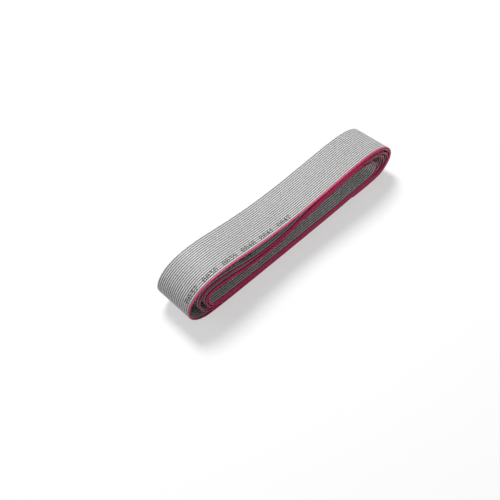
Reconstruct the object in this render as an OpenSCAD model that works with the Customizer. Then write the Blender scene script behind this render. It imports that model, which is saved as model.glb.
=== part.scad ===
// Flat ribbon cable, wound by hand into a long flattened hank that lies on a table.
// The ribbon is a row of insulated wires bonded side by side, with a red wire along one edge.
// X runs along the hank, Y across the ribbon and Z up. The red edge is on the -Y side.

/* [Ribbon] */
// Number of wires side by side
wires = 20; // [4:1:26]
// Spacing from one wire to the next
pitch = 1.27; // [1.1:0.01:1.5]
// Thickness of the ribbon over a wire
jacket_t = 0.9; // [0.7:0.01:1]
// Width of the ridge over one wire
jacket_w = 0.9; // [0.8:0.01:1]
// Thickness of the web that bonds two wires
web_t = 0.44; // [0.36:0.01:0.6]
// Side of the square conductor, which has the section of seven 0.127 mm strands
conductor_w = 0.3; // [0.2:0.01:0.34]

/* [Hank] */
// Length of the hank over its two end loops
hank_l = 170; // [155:1:190]
// Height of the hank over its outer turn
hank_h = 28.5; // [26:0.1:32]
// Clear gap between turns where they lie on each other
lay_gap = 0.15; // [0.12:0.01:0.25]
// How far the outer cut end lies in from the hank's right tip
outer_end = 35; // [32:1:38]

/* [Hidden] */

// Stations round the outer turn, in the order in which the ribbon passes them.
// Each has its end of the hank, its distance in from that tip, its share of the height,
// the direction in which the inner turns follow, and what each of them has to spare over lying flat.
right = 1;
left = -1;
stations = [
    [right, 38.5, 0, 90, [0, 0, 0, 0]],
    [right, 16.5, 0, 90, [0, 0, 0.1, 0.5]],
    [right, 7.3, 0.05, 138, [0.2, 0.25, 0.8, 3.5]],
    [right, 2, 0.22, 162, [0.2, 0.2, 2.7, 4.1]],
    [right, 0, 0.43, 182, [0.1, 0.8, 3.2, 4.9]],
    [right, 2.2, 0.66, 202, [0.1, 1.4, 2.2, 5]],
    [right, 8.8, 0.87, 228, [0.1, 1.7, 0.5, 4.6]],
    [right, 19.5, 0.99, 255, [0.1, 1.3, 0.3, 1.9]],
    [right, 35.5, 1, 268, [0.1, 0.6, 0.15, 0.3]],
    [right, 59.5, 0.92, 270, [0.15, 0.2, 0.15, 0.2]],
    [right, 81.5, 0.86, 270, [2.4, 0.4, 0.2, 0.4]],
    [left, 65.5, 0.85, 270, [6.5, 1, 0.3]],
    [left, 44.5, 0.92, 270, [7.1, 2, 0.3]],
    [left, 26.5, 1, 272, [4.3, 3.3, 0.2]],
    [left, 12.5, 0.96, 290, [3, 3.9, 0.2]],
    [left, 4, 0.79, 325, [3.9, 4.3, 0.6]],
    [left, 0, 0.54, 350, [6.4, 3.8, 0.8]],
    [left, 1.2, 0.29, 6, [6.5, 2.7, 0.9]],
    [left, 7.2, 0.085, 32, [3.5, 2.2, 0.7]],
    [left, 16.5, 0, 80, [0.55, 0.45, 0.35]],
    [right, 55.5, 0, 90, [0, 0, 0]]
];
turns = 5;
// The inner cut end is at this station of the last turn
last_station = 10;

base_z = jacket_t / 2;
rise = hank_h - jacket_t;
tip_x = hank_l / 2 - jacket_t / 2;
lay_pitch = jacket_t + lay_gap;
ribbon_w = (wires - 1) * pitch + jacket_w;
web_w = pitch - jacket_w;
// The bores run past both cut ends, so that they are open there
bore_run = 1;

function grey_name(i) = str("grey_jacket_", two_digits(i));
function conductor_name(i) = str("conductor_", two_digits(i));
function two_digits(i) = i < 10 ? str("0", i) : str(i);

function sum_of_first(list, count) = count == 0 ? 0 : list[count - 1] + sum_of_first(list, count - 1);
function depth(station, turn) = turn * lay_pitch + sum_of_first(station[4], turn);
function on_turn(station, turn) =
    let (d = depth(station, turn))
    [
        station[0] * (tip_x - station[1]) + d * cos(station[3]),
        base_z + station[2] * rise + d * sin(station[3])
    ];

// The middle line of the ribbon in the XZ plane, from the outer cut end to the inner one
route = [
    for (turn = [0 : turns - 1])
        let (last = turn == turns - 1 ? last_station : len(stations) - 1)
            for (i = [0 : last])
                turn == 0 && i == 0 ? [tip_x - outer_end, base_z] : on_turn(stations[i], turn)
];
ends = len(route) - 1;

function along(a, b) = (b - a) / norm(b - a);
function across(v) = [-v[1], v[0]];
// Sideways step of the edge line at a corner, longer than 1 so that the thickness stays the same
function corner(v, w) = across(v + w) / (1 + v * w);
edge_steps = [
    for (i = [0 : ends])
        i == 0 ? across(along(route[0], route[1]))
        : i == ends ? across(along(route[ends - 1], route[ends]))
        : corner(along(route[i - 1], route[i]), along(route[i], route[i + 1]))
];
// The route with both ends moved out by a run
function run_out(i, run) =
    i == 0 ? route[0] - run * along(route[0], route[1])
    : i == ends ? route[ends] + run * along(route[ends - 1], route[ends])
    : route[i];
function edge_line(thickness, run) = [
    for (i = [0 : ends]) run_out(i, run) + edge_steps[i] * thickness / 2
];
function backwards(list) = [for (i = [len(list) - 1 : -1 : 0]) list[i]];
function outline(thickness, run) =
    concat(edge_line(thickness, run), backwards(edge_line(-thickness, run)));

// The hank is centred on its outer faces
outer_xs = [for (p = outline(jacket_t, 0)) p[0]];
middle_x = (max(outer_xs) + min(outer_xs)) / 2;

// Middle of wire i in Y, counted from 1 at the red edge
function wire_y(i) = (i - 1) * pitch - ribbon_w / 2 + jacket_w / 2;

// A strip of the ribbon that follows the whole route, between two places across the width
module strip(thickness, from_y, to_y, run = 0) {
    translate([-middle_x, to_y, 0])
        rotate([90, 0, 0])
            linear_extrude(height = to_y - from_y)
                polygon(outline(thickness, run));
}

module ridge(i) {
    strip(jacket_t, wire_y(i) - jacket_w / 2, wire_y(i) + jacket_w / 2);
}

// The web between a wire and the one before it, which meets that wire's ridge
module web(i) {
    strip(web_t, wire_y(i) - jacket_w / 2 - web_w, wire_y(i) - jacket_w / 2);
}

module core(i, run = 0) {
    strip(conductor_w, wire_y(i) - conductor_w / 2, wire_y(i) + conductor_w / 2, run);
}

module red_edge_jacket() {
    color("crimson")
        difference() {
            ridge(1);
            core(1, bore_run);
        }
}

module grey_jacket(i) {
    color("lightgrey")
        difference() {
            union() {
                ridge(i);
                web(i);
            }
            core(i, bore_run);
        }
}

module conductor(i) {
    color("silver")
        core(i);
}

red_edge_jacket();
for (i = [2 : wires]) {
    grey_jacket(i);
}
for (i = [1 : wires]) {
    conductor(i);
}
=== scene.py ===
import bisect
import math

import bpy
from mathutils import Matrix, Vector


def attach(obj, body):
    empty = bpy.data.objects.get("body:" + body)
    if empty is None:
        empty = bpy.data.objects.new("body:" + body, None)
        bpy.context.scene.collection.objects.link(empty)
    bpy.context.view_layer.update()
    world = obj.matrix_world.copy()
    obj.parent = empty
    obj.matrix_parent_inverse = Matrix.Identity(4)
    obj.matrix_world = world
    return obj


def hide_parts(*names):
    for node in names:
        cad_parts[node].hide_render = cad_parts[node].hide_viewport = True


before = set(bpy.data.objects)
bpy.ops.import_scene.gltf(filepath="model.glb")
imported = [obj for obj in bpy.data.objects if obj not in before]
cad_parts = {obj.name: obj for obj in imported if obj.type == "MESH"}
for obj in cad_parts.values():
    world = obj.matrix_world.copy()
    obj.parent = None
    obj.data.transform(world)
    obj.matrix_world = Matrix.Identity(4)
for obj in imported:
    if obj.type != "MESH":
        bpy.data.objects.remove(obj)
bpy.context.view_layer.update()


# General helpers

def deselectAll():
    bpy.ops.object.select_all(action="DESELECT")


def meshPiece(name, points, faces, straight):  # straight holds each point's place on the unwound cable
    mesh = bpy.data.meshes.new(name)
    mesh.from_pydata(points, [], faces)
    mesh.update()
    flow = mesh.attributes.new("straight", "FLOAT_VECTOR", "POINT")
    flow.data.foreach_set("vector", [number for place in straight for number in place])
    piece = bpy.data.objects.new(name, mesh)
    bpy.context.scene.collection.objects.link(piece)
    return piece


def smoothByAngle(pieces, degrees):
    deselectAll()
    for piece in pieces:
        piece.select_set(True)
    bpy.context.view_layer.objects.active = pieces[0]
    bpy.ops.object.shade_smooth_by_angle(angle=math.radians(degrees))
    deselectAll()


def aim(item, direction):  # a camera or a lamp, which looks along its own -Z
    item.rotation_mode = "QUATERNION"
    item.rotation_quaternion = Vector(direction).to_track_quat("-Z", "Y")


# Camera, at the photo's viewing angle

cameraSetup = {
    "place": (-0.1839, -0.1539, 0.2769),
    "looks": (0.4469, 0.4422, -0.7777),
    "lens": 44.64,  # mm, on a sensor of 36 mm
    "nearest": 0.01,  # nothing closer than this is drawn
}


def addCamera():
    bpy.ops.object.camera_add(location=cameraSetup["place"])
    camera = bpy.context.object
    camera.name = "photoCamera"
    aim(camera, cameraSetup["looks"])
    camera.data.lens = cameraSetup["lens"]
    camera.data.clip_start = cameraSetup["nearest"]
    bpy.context.scene.camera = camera
    deselectAll()


addCamera()
print("camera stands at", cameraSetup["place"])


# Ribbon: its section and the way it is wound, in metres

ribbon = {
    "wires": 20,
    "pitch": 0.00127,
    "thickness": 0.0009,  # over a wire, where the jacket is round
    "webThickness": 0.00044,
    "boreWidth": 0.0004,
    "sidePoints": 2,  # from a ridge's middle height up to its web
    "topPoints": 6,  # over a ridge from web to web
    "borePoints": 8,  # an even number
    "smoothAngle": 70,  # degrees, past which an edge stays sharp
}
hank = {
    "length": 0.17,
    "height": 0.0285,
    "layGap": 0.00015,  # between turns where they lie on each other
    "outerEnd": 0.035,  # how far the outer cut end lies in from the right tip
    "turns": 5,
    "lastStation": 10,  # the inner cut end is at this station of the last turn
    "stepsPerStation": 5,
}
tip = hank["length"] / 2 - ribbon["thickness"] / 2  # how far the middle line reaches in X
right, left = 1, -1
# Each station has its end of the hank, its distance in from that tip, its share of the height,
# the direction in which the inner turns follow, and what each of them has to spare over lying flat
stations = [
    (right, 0.0385, 0, 90, (0, 0, 0, 0)),
    (right, 0.0165, 0, 90, (0, 0, 0.0001, 0.0005)),
    (right, 0.0073, 0.05, 138, (0.0002, 0.00025, 0.0008, 0.0035)),
    (right, 0.002, 0.22, 162, (0.0002, 0.0002, 0.0027, 0.0041)),
    (right, 0, 0.43, 182, (0.0001, 0.0008, 0.0032, 0.0049)),
    (right, 0.0022, 0.66, 202, (0.0001, 0.0014, 0.0022, 0.005)),
    (right, 0.0088, 0.87, 228, (0.0001, 0.0017, 0.0005, 0.0046)),
    (right, 0.0195, 0.99, 255, (0.0001, 0.0013, 0.0003, 0.0019)),
    (right, 0.0355, 1, 268, (0.0001, 0.0006, 0.00015, 0.0003)),
    (right, 0.0595, 0.92, 270, (0.00015, 0.0002, 0.00015, 0.0002)),
    (right, 0.0815, 0.86, 270, (0.0024, 0.0004, 0.0002, 0.0004)),
    (left, 0.0655, 0.85, 270, (0.0065, 0.001, 0.0003)),
    (left, 0.0445, 0.92, 270, (0.0071, 0.002, 0.0003)),
    (left, 0.0265, 1, 272, (0.0043, 0.0033, 0.0002)),
    (left, 0.0125, 0.96, 290, (0.003, 0.0039, 0.0002)),
    (left, 0.004, 0.79, 325, (0.0039, 0.0043, 0.0006)),
    (left, 0, 0.54, 350, (0.0064, 0.0038, 0.0008)),
    (left, 0.0012, 0.29, 6, (0.0065, 0.0027, 0.0009)),
    (left, 0.0072, 0.085, 32, (0.0035, 0.0022, 0.0007)),
    (left, 0.0165, 0, 80, (0.00055, 0.00045, 0.00035)),
    (right, 0.0555, 0, 90, (0, 0, 0)),
]


def onTurn(station, turn):
    side, inset, share, heading, slack = station
    depth = turn * (ribbon["thickness"] + hank["layGap"]) + sum(slack[:turn])
    rise = hank["height"] - ribbon["thickness"]
    return Vector((
        side * (tip - inset) + depth * math.cos(math.radians(heading)),
        0,
        ribbon["thickness"] / 2 + share * rise + depth * math.sin(math.radians(heading)),
    ))


def stationPoints():
    points = []
    for turn in range(hank["turns"]):
        last = hank["lastStation"] if turn == hank["turns"] - 1 else len(stations) - 1
        points += [onTurn(station, turn) for station in stations[:last + 1]]
    points[0].x = tip - hank["outerEnd"]
    return points


def smoothLine(points, steps):
    line = [points[0]]
    for before, corner, after in zip(points, points[1:], points[2:]):
        start, stop = (before + corner) / 2, (corner + after) / 2
        for step in range(steps):  # a bend round each station, from midpoint to midpoint
            t = step / steps
            line.append(start * (1 - t) ** 2 + corner * 2 * t * (1 - t) + stop * t ** 2)
    return line + [(points[-2] + points[-1]) / 2, points[-1]]


class Route:  # the ribbon's middle line in rings, each with its distance and its outward direction
    def __init__(self, line):
        self.line = line
        self.distance = [0]
        for a, b in zip(line, line[1:]):
            self.distance.append(self.distance[-1] + (b - a).length)
        ends = len(line) - 1
        runs = [(line[min(i + 1, ends)] - line[max(i - 1, 0)]).normalized() for i in range(ends + 1)]
        self.outward = [Vector((run.z, 0, -run.x)) for run in runs]

    def place(self, ring, across, out):
        return self.line[ring] + Vector((0, across, 0)) + self.outward[ring] * out

    def placeAt(self, along, across, out):  # between two rings
        ring = min(max(bisect.bisect_right(self.distance, along) - 1, 0), len(self.line) - 2)
        share = (along - self.distance[ring]) / (self.distance[ring + 1] - self.distance[ring])
        return self.place(ring, across, out).lerp(self.place(ring + 1, across, out), share)


route = Route(smoothLine(stationPoints(), hank["stepsPerStation"]))
cableLength = route.distance[-1]
print(f"route has {len(route.line)} rings and is {cableLength:.3f} m long")


# Tubes that follow the route

def wireMiddle(number):  # counted from 1 at the red edge
    return (number - 1 - (ribbon["wires"] - 1) / 2) * ribbon["pitch"]


def onCircle(radius, angle):  # across the ribbon and out of it
    return radius * math.cos(angle), radius * math.sin(angle)


def sweptPoints(section, middle):
    points, straight = [], []
    for ring, distance in enumerate(route.distance):
        points += [route.place(ring, middle + across, out) for across, out in section]
        straight += [(distance, middle + across, out) for across, out in section]
    return points, straight


def wallFaces(first, count, perRing, inward=False):  # round one closed loop of the section
    faces = []
    for ring in range(len(route.line) - 1):
        here = ring * perRing + first
        there = here + perRing
        for k in range(count):
            following = (k + 1) % count
            face = (here + k, there + k, there + following, here + following)
            faces.append(face[::-1] if inward else face)
    return faces


def endFaces(cut, perRing):  # on the outer cut end and, turned over, on the inner one
    lastRing = (len(route.line) - 1) * perRing
    return [cut, [lastRing + k for k in reversed(cut)]]


# Jackets

def jacketOutline(hasWeb):  # the upper half of a ridge's section, from its +Y side to its -Y side
    radius = ribbon["thickness"] / 2
    webAngle = math.asin(ribbon["webThickness"] / ribbon["thickness"])
    sideStep, topStep = webAngle / ribbon["sidePoints"], (math.pi - 2 * webAngle) / ribbon["topPoints"]
    side = [onCircle(radius, step * sideStep) for step in range(ribbon["sidePoints"] + 1)]
    top = [onCircle(radius, webAngle + (step + 1) * topStep) for step in range(ribbon["topPoints"])]
    if hasWeb:  # the web ends on the round flank of the wire before it
        farSide = [(across - ribbon["pitch"], out) for across, out in side]
    else:
        farSide = [(-across, out) for across, out in side[:-1]]
    return side + top + farSide[::-1]


def jacketPiece(name, number):
    upper = jacketOutline(number > 1)
    outer = upper + [(across, -out) for across, out in reversed(upper[1:-1])]
    boreStep = 2 * math.pi / ribbon["borePoints"]
    bore = [onCircle(ribbon["boreWidth"] / 2, k * boreStep) for k in range(ribbon["borePoints"])]
    section = outer + bore
    points, straight = sweptPoints(section, wireMiddle(number))
    faces = wallFaces(0, len(outer), len(section))
    faces += wallFaces(len(outer), len(bore), len(section), inward=True)
    # Each cut face is an upper and a lower half round the bore
    outerHalf, boreHalf = len(upper) - 1, len(bore) // 2
    above = list(range(outerHalf + 1)) + [len(outer) + k for k in range(boreHalf, -1, -1)]
    below = [k % len(outer) for k in range(outerHalf, len(outer) + 1)]
    below += [len(outer) + k % len(bore) for k in range(len(bore), boreHalf - 1, -1)]
    faces += endFaces(above, len(section)) + endFaces(below, len(section))
    return meshPiece(name, points, faces, straight)


# Conductors: seven tinned strands twisted into one core

conductor = {
    "width": 0.00038,
    "strandDip": 0.00003,  # how far the outline dips between two of the six outer strands
    "outerStrands": 6,
}


def conductorPiece(name, number):
    count = conductor["outerStrands"] * 2
    section = []
    for k in range(count):
        radius = conductor["width"] / 2 - (conductor["strandDip"] if k % 2 else 0)
        section.append(onCircle(radius, 2 * math.pi * k / count))
    points, straight = sweptPoints(section, wireMiddle(number))
    faces = wallFaces(0, count, count) + endFaces(list(range(count)), count)
    return meshPiece(name, points, faces, straight)


def buildWires():
    jackets, cores = [], []
    for number in range(1, ribbon["wires"] + 1):
        label = f"{number:02d}"
        isRed = number == 1
        core = conductorPiece(f"tinned_core_{label}", number)
        jacket = jacketPiece(f"red_edge_wire_{label}" if isRed else f"grey_wire_{label}", number)
        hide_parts("red_edge_jacket" if isRed else f"grey_jacket_{label}")
        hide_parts(f"conductor_{label}")
        middle = wireMiddle(number)
        route.place(0, middle, 0)
        [route.place(ring, middle, 0) for ring in range(len(route.line))]
        jackets.append(jacket)
        cores.append(core)
    smoothByAngle(jackets + cores, ribbon["smoothAngle"])
    return jackets, cores


jackets, cores = buildWires()
print(f"ribbon has {len(jackets)} jackets, each with its stranded core")


# Printed numbers, laid down in dots along the ribbon's outer face

printLine = {
    "fromRedWire": 0.003,  # from the red wire's middle to the middle of the digits
    "firstAt": 0.1375,  # along the ribbon, from its outer cut end
    "stringEvery": 0.195,
    "groups": 6,  # in one string
    "groupEvery": 0.0137,
    "digits": 4,  # in one group
    "digitEvery": 0.0026,
    "dotAlong": 0.00039,
    "dotAcross": 0.00036,
    "dotWidth": 0.0006,
    "dotTop": 0.75,  # the width of its top, as a share
    "dotHeight": 0.00004,
    "dotCorners": 6,
    "dotCuts": (-0.00013, 0, 0.00013),  # lines along the ribbon at which a dot bends over a ridge
}
digitRows = {  # seven rows of five dots, from the top of each digit
    "0": (".###.", "#...#", "#..##", "#.#.#", "##..#", "#...#", ".###."),
    "1": ("..#..", ".##..", "..#..", "..#..", "..#..", "..#..", ".###."),
    "2": (".###.", "#...#", "....#", "...#.", "..#..", ".#...", "#####"),
    "3": ("#####", "...#.", "..#..", "...#.", "....#", "#...#", ".###."),
    "4": ("...#.", "..##.", ".#.#.", "#..#.", "#####", "...#.", "...#."),
    "5": ("#####", "#....", "####.", "....#", "....#", "#...#", ".###."),
    "6": ("..##.", ".#...", "#....", "####.", "#...#", "#...#", ".###."),
    "7": ("#####", "....#", "...#.", "..#..", ".#...", ".#...", ".#..."),
    "8": (".###.", "#...#", "#...#", ".###.", "#...#", "#...#", ".###."),
    "9": (".###.", "#...#", "#...#", ".####", "....#", "...#.", ".##.."),
}


def ribbonHeight(across):  # of the outer face over the middle line, at a place across the ribbon
    number = round(across / ribbon["pitch"] + (ribbon["wires"] - 1) / 2) + 1
    offset = across - wireMiddle(number)
    radius, web = ribbon["thickness"] / 2, ribbon["webThickness"] / 2
    return max(web, math.sqrt(max(radius ** 2 - offset ** 2, 0)))


def inkDot():  # one flat dot, narrower on top, as a mesh at the origin
    deselectAll()
    bpy.ops.mesh.primitive_cylinder_add(
        vertices=printLine["dotCorners"], radius=printLine["dotWidth"] / 2,
        depth=printLine["dotHeight"], location=(0, 0, 0))
    dot = bpy.context.object
    for face in dot.data.polygons:
        face.select = face.normal.z > 0.5
    bpy.ops.object.mode_set(mode="EDIT")
    bpy.ops.mesh.select_mode(type="FACE")
    bpy.ops.transform.resize(value=(printLine["dotTop"], printLine["dotTop"], 1))
    for across in printLine["dotCuts"]:
        bpy.ops.mesh.select_all(action="SELECT")
        bpy.ops.mesh.bisect(plane_co=(0, across, 0), plane_no=(0, 1, 0))
    bpy.ops.object.mode_set(mode="OBJECT")
    corners = [vertex.co.copy() for vertex in dot.data.vertices]
    faces = [tuple(face.vertices) for face in dot.data.polygons]
    bpy.data.objects.remove(dot)
    return corners, faces


def dotPlaces():  # along and across, for every dot of every digit
    middle = wireMiddle(1) + printLine["fromRedWire"]
    middleRow = len(digitRows["0"]) // 2
    strings = int((cableLength - printLine["firstAt"]) / printLine["stringEvery"]) + 1
    count = strings * printLine["groups"]
    places = []
    for index in range(count):
        string, group = divmod(index, printLine["groups"])
        start = printLine["firstAt"] + string * printLine["stringEvery"] + group * printLine["groupEvery"]
        start += printLine["digits"] * printLine["digitEvery"]
        if start > cableLength:
            break
        number = f"{count - index:0{printLine['digits']}d}"  # counted from the inner cut end
        for place, digit in enumerate(number):
            for row, marks in enumerate(digitRows[digit]):
                for column, mark in enumerate(marks):
                    if mark == "#":
                        places.append((
                            start - place * printLine["digitEvery"] - column * printLine["dotAlong"],
                            middle + (middleRow - row) * printLine["dotAcross"],
                        ))
    return places


def buildPrint():
    corners, dotFaces = inkDot()
    points, straight, faces = [], [], []
    for along, across in dotPlaces():
        first = len(points)
        for corner in corners:
            place = (along + corner.x, across + corner.y)
            out = ribbonHeight(place[1]) + corner.z
            points.append(route.placeAt(*place, out))
            straight.append((*place, out))
        faces += [[first + k for k in reversed(face)] for face in dotFaces]
    return meshPiece("printed_numbers", points, faces, straight)


printedNumbers = buildPrint()
print(f"print has {len(printedNumbers.data.polygons)} faces")


# Shader maths

class Socket:  # an output in a node tree, on which arithmetic adds Math nodes
    def __init__(self, tree, output=None):
        self.tree, self.output = tree, output

    def node(self, kind, settings, inputs, output=0):
        made = self.tree.nodes.new(kind)
        for name, value in settings.items():
            setattr(made, name, value)
        for name, value in inputs.items():
            if isinstance(value, Socket):
                self.tree.links.new(value.output, made.inputs[name])
            else:
                made.inputs[name].default_value = value
        return Socket(self.tree, made.outputs[output] if made.outputs else None)

    def maths(self, operation, *values):
        return self.node("ShaderNodeMath", {"operation": operation}, dict(enumerate(values)))

    def __add__(self, other):
        return self.maths("ADD", self, other)

    def __radd__(self, other):
        return self.maths("ADD", other, self)

    def __sub__(self, other):
        return self.maths("SUBTRACT", self, other)

    def __rsub__(self, other):
        return self.maths("SUBTRACT", other, self)

    def __mul__(self, other):
        return self.maths("MULTIPLY", self, other)

    def __rmul__(self, other):
        return self.maths("MULTIPLY", other, self)


def newMaterial(name):
    material = bpy.data.materials.new(name)
    material.use_nodes = True
    material.node_tree.nodes.clear()
    return material, Socket(material.node_tree)


def principled(tree, inputs):
    shader = tree.node("ShaderNodeBsdfPrincipled", {}, inputs)
    tree.node("ShaderNodeOutputMaterial", {}, {"Surface": shader})


def mixColour(tree, factor, first, second):  # the Mix node's sockets 6, 7 and 2 are its colours
    return tree.node(
        "ShaderNodeMix", {"data_type": "RGBA"}, {"Factor": factor, 6: first, 7: second}, output=2)


def smoothStep(tree, value, start, stop):  # 0 up to start, 1 from stop on
    return tree.node(
        "ShaderNodeMapRange", {"interpolation_type": "SMOOTHSTEP"},
        {"Value": value, "From Min": start, "From Max": stop})


def unwound(tree):  # a point's place on the straight cable, in metres along it, across it and out of it
    return tree.node("ShaderNodeAttribute", {"attribute_name": "straight"}, {}, output="Vector")


def unwoundAxis(tree, axis):
    return tree.node("ShaderNodeSeparateXYZ", {}, {"Vector": unwound(tree)}, output=axis)


def cableNoise(tree, scale, detail):  # the scale has its three numbers in the order of unwound
    place = tree.node("ShaderNodeVectorMath", {"operation": "MULTIPLY"}, {0: unwound(tree), 1: scale})
    return tree.node(
        "ShaderNodeTexNoise", {}, {"Vector": place, "Scale": 1, "Detail": detail}, output="Fac")


cutDepth = 0.00003  # how far in from an end still counts as its cut face


def cutFace(tree):  # 1 on the faces of both cut ends
    along = unwoundAxis(tree, "X")
    fromEnd = tree.maths("MINIMUM", along, cableLength - along)
    return 1 - smoothStep(tree, fromEnd, cutDepth, cutDepth * 2)


# Soft PVC of the jackets, extruded through a die

pvcSurface = {  # of both colours
    "webShadeFrom": 0.00008,  # from the middle of a web to where its painted shade starts to give way
    "webShadeTo": 0.0003,
    "flankWidth": 0.0002,  # from the last wire's middle to the flank, which has no web beside it
    "driftScale": (9, 260, 260),  # slow change along each wire
    "grainScale": (900, 5200, 5200),
    "lineScale": (30, 16000, 16000),  # left by the die
    "grainShare": 0.3,  # of the colour, where drift has the rest, and of the bump, where lines have it
    "grainRoughness": 0.12,  # how much the grain changes the roughness
    "bumpDepth": 0.00005,
    "refraction": 1.53,
}
greyPvc = {
    "light": (0.645, 0.638, 0.638, 1),
    "shade": (0.57, 0.563, 0.562, 1),
    "web": (0.025, 0.024, 0.023, 1),  # painted shade between two ridges
    "roughness": 0.42,
    "sheen": 0.32,  # level of its reflections
    "dieLines": 0.1,  # strength of the bump
}
redPvc = {
    "light": (0.76, 0.018, 0.16, 1),
    "shade": (0.62, 0.011, 0.11, 1),
    # painted shade on the web beside the red wire
    "web": (0.12, 0.004, 0.02, 1),
    "roughness": 0.36,
    "sheen": 0.3,
    "dieLines": 0.08,
}


def webShadeMask(tree):  # 0 along the middle of each web, where shade is painted, 1 on the ridges, the flanks and the cut faces
    across = unwoundAxis(tree, "Y")
    firstWeb, lastMiddle = ribbon["wires"] / 2 * ribbon["pitch"], wireMiddle(ribbon["wires"])
    fromWeb = tree.maths("PINGPONG", across + firstWeb, ribbon["pitch"] / 2)
    crown = smoothStep(tree, fromWeb, pvcSurface["webShadeFrom"], pvcSurface["webShadeTo"])
    offMiddle = tree.maths("ABSOLUTE", across)
    flank = smoothStep(tree, offMiddle, lastMiddle, lastMiddle + pvcSurface["flankWidth"])
    return tree.maths("MAXIMUM", tree.maths("MAXIMUM", crown, flank), cutFace(tree))


def pvcMaterial(name, finish):
    material, tree = newMaterial(name)
    drift = cableNoise(tree, pvcSurface["driftScale"], detail=2)
    grain = cableNoise(tree, pvcSurface["grainScale"], detail=3)
    lines = cableNoise(tree, pvcSurface["lineScale"], detail=2)
    grainShare, grainRoughness = pvcSurface["grainShare"], pvcSurface["grainRoughness"]
    tint = drift * (1 - grainShare) + grain * grainShare
    body = mixColour(tree, tint, finish["light"], finish["shade"])
    height = lines * (1 - grainShare) + grain * grainShare
    bump = tree.node(
        "ShaderNodeBump", {},
        {"Strength": finish["dieLines"], "Distance": pvcSurface["bumpDepth"], "Height": height})
    principled(tree, {
        # the webs get painted shade, dark as a recess between ridges, in place of the PVC's own colour
        "Base Color": mixColour(tree, webShadeMask(tree), finish["web"], body),
        "Roughness": finish["roughness"] - grainRoughness / 2 + grain * grainRoughness,
        "IOR": pvcSurface["refraction"],
        "Specular IOR Level": finish["sheen"],
        "Normal": bump,
    })
    return material


tinnedCopper = {
    "bright": (0.74, 0.72, 0.7, 1),
    "dull": (0.56, 0.53, 0.5, 1),
    "cut": (0.78, 0.42, 0.26, 1),  # bare copper where the strands are cut through
    "grainScale": (1500, 9000, 9000),
    "smoothest": 0.26,
    "grainRoughness": 0.16,
}


def tinMaterial(name, finish):
    material, tree = newMaterial(name)
    grain = cableNoise(tree, finish["grainScale"], detail=3)
    tin = mixColour(tree, grain, finish["bright"], finish["dull"])
    principled(tree, {
        "Base Color": mixColour(tree, cutFace(tree), tin, finish["cut"]),
        "Roughness": finish["smoothest"] + grain * finish["grainRoughness"],
        "Metallic": 1.0,
    })
    return material


printInk = {
    "solid": (0.004, 0.004, 0.005, 1),
    "thin": (0.03, 0.03, 0.032, 1),
    "patchScale": (700, 700, 700),
    "roughness": 0.7,
    "sheen": 0.25,
}


def inkMaterial(name, finish):
    material, tree = newMaterial(name)
    patches = cableNoise(tree, finish["patchScale"], detail=2)
    principled(tree, {
        "Base Color": mixColour(tree, patches, finish["solid"], finish["thin"]),
        "Roughness": finish["roughness"],
        "Specular IOR Level": finish["sheen"],
    })
    return material


def dress(pieces, material):
    for piece in pieces:
        piece.data.materials.append(material)
        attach(piece, "root")


dress(jackets[:1], pvcMaterial("red edge PVC", redPvc))
dress(jackets[1:], pvcMaterial("grey PVC", greyPvc))
dress(cores, tinMaterial("tinned copper", tinnedCopper))
dress([printedNumbers], inkMaterial("print ink", printInk))
print("jackets, cores and print have their finishes")


# Floor and soft studio light

studio = {
    "floorSize": 4,
    "floorColour": (0.45, 0.45, 0.45, 1),
    "floorSeen": (0.95, 0.95, 0.95, 1),  # as the camera and glossy surfaces see it
    "whiteShare": 0.5,  # how much of the floor that the camera sees is plain white near the part
    "whiteFrom": 0.2,  # from here out the floor turns all white
    "whiteAt": 0.7,
    "worldLight": 0.28,
}
lamps = {
    "key": {"place": (0.2, 0.55, 0.9), "size": 0.4, "watts": 12},
    "fill": {"place": (-0.75, 0.65, 0.26), "size": 0.6, "watts": 2.3},
}
plainWhite = (1, 1, 1, 1)


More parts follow.
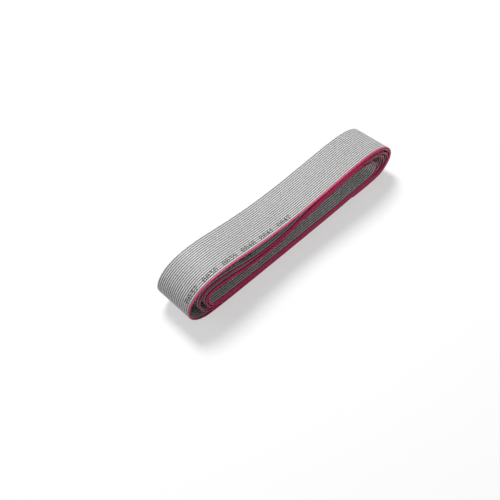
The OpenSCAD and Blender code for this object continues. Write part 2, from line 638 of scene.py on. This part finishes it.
def seenDirectly(tree):  # 1 for the camera, in gloss and through glass, 0 for light that falls elsewhere
    rays = [tree.node("ShaderNodeLightPath", {}, {}, output=f"Is {kind} Ray")
            for kind in ("Camera", "Glossy", "Transmission")]
    return rays[0] + rays[1] + rays[2]


def addFloor():
    bpy.ops.mesh.primitive_plane_add(size=studio["floorSize"], location=(0, 0, 0))
    floor = bpy.context.object
    floor.name = "studio_floor"
    material, tree = newMaterial("pale floor")
    seen = seenDirectly(tree)
    place = tree.node("ShaderNodeTexCoord", {}, {}, output="Object")
    distance = tree.node("ShaderNodeVectorMath", {"operation": "LENGTH"}, {0: place}, output="Value")
    farOut = smoothStep(tree, distance, studio["whiteFrom"], studio["whiteAt"])
    whiteShare = studio["whiteShare"] + farOut * (1 - studio["whiteShare"])
    colour = mixColour(tree, seen, studio["floorColour"], studio["floorSeen"])
    matt = tree.node("ShaderNodeBsdfDiffuse", {}, {"Color": colour})
    white = tree.node("ShaderNodeEmission", {}, {"Color": plainWhite, "Strength": 1})
    mixed = tree.node("ShaderNodeMixShader", {}, {"Fac": seen * whiteShare, 1: matt, 2: white})
    tree.node("ShaderNodeOutputMaterial", {}, {"Surface": mixed})
    floor.data.materials.append(material)
    deselectAll()


def addLamps():
    for name, lamp in lamps.items():
        bpy.ops.object.light_add(type="AREA", location=lamp["place"])
        light = bpy.context.object
        light.name = name + "Lamp"
        aim(light, -Vector(lamp["place"]))  # at the part's middle, near the origin
        light.data.shape = "DISK"
        light.data.size = lamp["size"]
        light.data.energy = lamp["watts"]
    deselectAll()


def addWorld():  # white where it is seen, and dimmer as a light
    world = bpy.data.worlds.new("studio")
    world.use_nodes = True
    world.node_tree.nodes.clear()
    tree = Socket(world.node_tree)
    strength = studio["worldLight"] + seenDirectly(tree) * (1 - studio["worldLight"])
    background = tree.node("ShaderNodeBackground", {}, {"Color": plainWhite, "Strength": strength})
    tree.node("ShaderNodeOutputWorld", {}, {"Surface": background})
    bpy.context.scene.world = world


addFloor()
addLamps()
addWorld()
bpy.context.scene.view_settings.view_transform = "Standard"
print("floor and lamps are in place")
